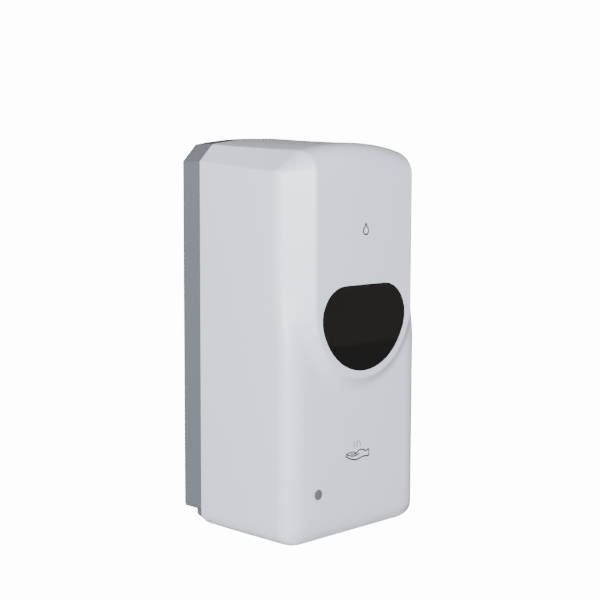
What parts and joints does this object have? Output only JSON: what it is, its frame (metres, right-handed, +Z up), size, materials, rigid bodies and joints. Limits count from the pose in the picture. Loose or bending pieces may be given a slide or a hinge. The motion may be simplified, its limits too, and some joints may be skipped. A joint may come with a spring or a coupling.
{
  "type": "wall mounted soap dispenser",
  "caption": "Touch-free wall mounted soap dispenser with a hinged white cover, smoked level window, refillable reservoir and battery driven tube pump.",
  "frame": {"origin": "centre of the four wall screws on the wall plane", "axes": "+Z up, +Y into the wall, +X to the right seen from the front"},
  "size_m": [0.13, 0.1091, 0.2675],
  "materials": {
    "white_abs": "satin moulded",
    "grey_abs": "fine moulded texture",
    "smoked": "smoked clear plastic",
    "lens_grey": "frosted",
    "ink": "printed ink",
    "steel": "zinc plated",
    "natural_abs": "moulded",
    "clear_tank": "translucent",
    "black_rubber": "moulded",
    "silicone": "translucent",
    "black_plastic": "moulded",
    "pcb_green": "solder mask",
    "brass": "machined",
    "cell_wrap": "foil wrap",
    "led_clear": "clear"
  },
  "bodies": {
    "root": {"rear_housing": "grey_abs", "hinge_pins": "steel", "lock_keeper": "steel", "keeper_screws": "steel", "lower_chassis": "natural_abs", "chassis_screws": "steel", "inlet_socket": "grey_abs", "inlet_seal": "black_rubber", "pump_base": "grey_abs", "pump_cover": "clear_tank", "pump_screws": "steel", "pump_tube": "silicone", "gear_plate": "grey_abs", "compound_axle": "steel", "pump_motor": "steel", "motor_end_cap": "black_plastic", "motor_screws": "steel", "spout_nozzle": "grey_abs", "duckbill_valve": "black_rubber", "sensor_board": "pcb_green", "ir_emitter": "led_clear", "ir_receiver": "black_plastic", "sensor_window": "smoked", "status_led": "led_clear", "control_board": "pcb_green", "board_parts": "black_plastic", "rocker_frame": "black_plastic", "battery_tray": "natural_abs", "aa_cells": "cell_wrap", "battery_contacts": "steel", "dc_jack": "black_plastic"},
    "cover": {"front_cover": "white_abs", "level_window": "smoked", "window_retainer": "white_abs", "indicator_lens": "lens_grey", "hand_pictogram": "ink", "drop_mark": "ink"},
    "lock": {"lock_barrel": "grey_abs", "lock_cam": "steel", "cam_screw": "steel"},
    "tank": {"soap_reservoir": "clear_tank", "valve_cage": "natural_abs", "valve_spring": "steel"},
    "cap": {"fill_cap": "white_abs", "cap_seal": "black_rubber"},
    "valve": {"valve_poppet": "natural_abs", "valve_washer": "black_rubber"},
    "rotor": {"pump_rotor": "natural_abs", "rotor_shaft": "steel", "rotor_gear": "natural_abs", "roller_pins": "steel"},
    "roller_1": {"roller_a": "white_abs"},
    "roller_2": {"roller_b": "white_abs"},
    "roller_3": {"roller_c": "white_abs"},
    "compound": {"compound_gear": "natural_abs"},
    "pinion": {"motor_pinion": "brass", "motor_shaft": "steel"},
    "rocker": {"power_rocker": "black_plastic"},
    "dose": {"dose_slider": "black_plastic"},
    "door": {"battery_door": "grey_abs"}
  },
  "joints": [
    {"name": "cover_hinge", "type": "hinge", "parent": "root", "child": "cover", "pos_m": [0, -0.0252, -0.1571], "axis": [1, 0, 0], "range_deg": [0, 85]},
    {"name": "lock_turn", "type": "hinge", "parent": "cover", "child": "lock", "pos_m": [0, -0.03, 0.09], "axis": [0, 0, -1], "range_deg": [0, 90]},
    {"name": "tank_lift", "type": "slide", "parent": "root", "child": "tank", "axis": [0, 0, 1], "range_m": [0, 0.008]},
    {"name": "cap_turn", "type": "hinge", "parent": "tank", "child": "cap", "pos_m": [0, -0.058, 0.065], "axis": [0, 0, 1], "range_deg": [0, 90]},
    {"name": "valve_lift", "type": "slide", "parent": "tank", "child": "valve", "axis": [0, 0, 1], "range_m": [0, 0.003], "stiffness_N_per_m": 150, "deforming": ["valve_spring"]},
    {"name": "rotor_spin", "type": "hinge", "parent": "root", "child": "rotor", "pos_m": [-0.022, -0.0825, -0.111], "axis": [0, 1, 0], "continuous": true},
    {"name": "compound_spin", "type": "hinge", "parent": "root", "child": "compound", "pos_m": [-0.0012, -0.066, -0.111], "axis": [0, 1, 0], "continuous": true},
    {"name": "pinion_spin", "type": "hinge", "parent": "root", "child": "pinion", "pos_m": [0.018, -0.066, -0.111], "axis": [0, 1, 0], "continuous": true},
    {"name": "rocker_tilt", "type": "hinge", "parent": "root", "child": "rocker", "pos_m": [0.038, -0.095, -0.093], "axis": [1, 0, 0], "range_deg": [0, 12]},
    {"name": "dose_slide", "type": "slide", "parent": "root", "child": "dose", "axis": [1, 0, 0], "range_m": [0, 0.004]},
    {"name": "door_slide", "type": "slide", "parent": "root", "child": "door", "axis": [0, -1, 0], "range_m": [0, 0.005]},
    {"name": "roller_1_spin", "type": "hinge", "parent": "rotor", "child": "roller_1", "pos_m": [-0.011, -0.0825, -0.111], "axis": [0, 1, 0], "continuous": true},
    {"name": "roller_2_spin", "type": "hinge", "parent": "rotor", "child": "roller_2", "pos_m": [-0.0275, -0.0825, -0.10147], "axis": [0, 1, 0], "continuous": true},
    {"name": "roller_3_spin", "type": "hinge", "parent": "rotor", "child": "roller_3", "pos_m": [-0.0275, -0.0825, -0.12053], "axis": [0, 1, 0], "continuous": true}
  ],
  "couplings": [
    {"joint": "compound_spin", "follows": "rotor_spin", "ratio": -3.3333},
    {"joint": "pinion_spin", "follows": "rotor_spin", "ratio": 10},
    {"joint": "roller_1_spin", "follows": "rotor_spin", "ratio": -3.825},
    {"joint": "roller_2_spin", "follows": "rotor_spin", "ratio": -3.825},
    {"joint": "roller_3_spin", "follows": "rotor_spin", "ratio": -3.825}
  ]
}
